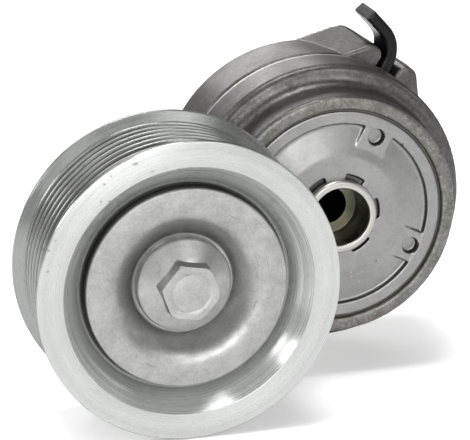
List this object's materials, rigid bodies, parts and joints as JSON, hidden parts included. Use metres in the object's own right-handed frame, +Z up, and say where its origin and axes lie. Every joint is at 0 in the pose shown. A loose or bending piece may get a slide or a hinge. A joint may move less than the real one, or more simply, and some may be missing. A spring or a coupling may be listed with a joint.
{
  "type": "belt tensioner idler",
  "caption": "Automatic belt tensioner: a ribbed idler pulley on a sprung cast arm, pivoting on a tube in a round spring housing with a hooked strip spring.",
  "frame": {"origin": "centre of the pivot bore on the rear mounting face", "axes": "pivot and pulley axes along Y; -Y points to the front, where the pulley is; +Z up; the pulley lies towards -X at rest"},
  "size_m": [0.1404, 0.0902, 0.1036],
  "materials": {
    "cast_aluminium": "as-cast, fine grain, matt",
    "plate_casting": "as-cast, lighter, small pits",
    "turned_metal": "turned, fine circular lines, satin",
    "zinc_steel": "zinc plated, mottled, scuffed",
    "tube_steel": "machined, oiled",
    "plain_steel": "ground",
    "bearing_steel": "ground and polished",
    "black_spring_steel": "black dip coating, semi-gloss",
    "brown_polymer": "moulded, matt",
    "black_polymer": "moulded, matt",
    "bronze": "sintered, oiled",
    "seal_rubber": "moulded rubber"
  },
  "bodies": {
    "base": {"spring_housing": "cast_aluminium", "locating_pin": "plain_steel", "pivot_tube": "tube_steel", "front_plate": "plate_casting", "torsion_spring": "black_spring_steel", "rear_thrust_washer": "brown_polymer", "front_thrust_washer": "plain_steel", "friction_disc": "brown_polymer"},
    "arm": {"tensioner_arm": "cast_aluminium", "rear_pivot_bush": "bronze", "front_pivot_bush": "bronze", "spring_guard": "black_polymer", "bearing_inner_ring": "bearing_steel", "rear_shield": "zinc_steel", "dust_cover": "zinc_steel", "pulley_bolt": "zinc_steel"},
    "pulley": {"pulley": "turned_metal", "snap_ring": "black_spring_steel", "bearing_outer_ring": "bearing_steel", "rear_bearing_seal": "seal_rubber", "front_bearing_seal": "seal_rubber"},
    "ball_set": {"bearing_balls": "bearing_steel", "bearing_cage": "black_polymer"}
  },
  "joints": [
    {"name": "arm_swing", "type": "hinge", "parent": "base", "child": "arm", "pos_m": [0, -0.03, 0], "axis": [0, -1, 0], "range_deg": [0, 60], "stiffness_Nm_per_rad": 42, "springref_deg": -34.38, "deforming": ["torsion_spring"]},
    {"name": "pulley_spin", "type": "hinge", "parent": "arm", "child": "pulley", "pos_m": [-0.0548, -0.0661, -0.0065], "axis": [0, -1, 0], "continuous": true},
    {"name": "ball_orbit", "type": "hinge", "parent": "arm", "child": "ball_set", "pos_m": [-0.0548, -0.0661, -0.0065], "axis": [0, -1, 0], "continuous": true}
  ],
  "couplings": [
    {"joint": "ball_orbit", "follows": "pulley_spin", "ratio": 0.6344}
  ]
}
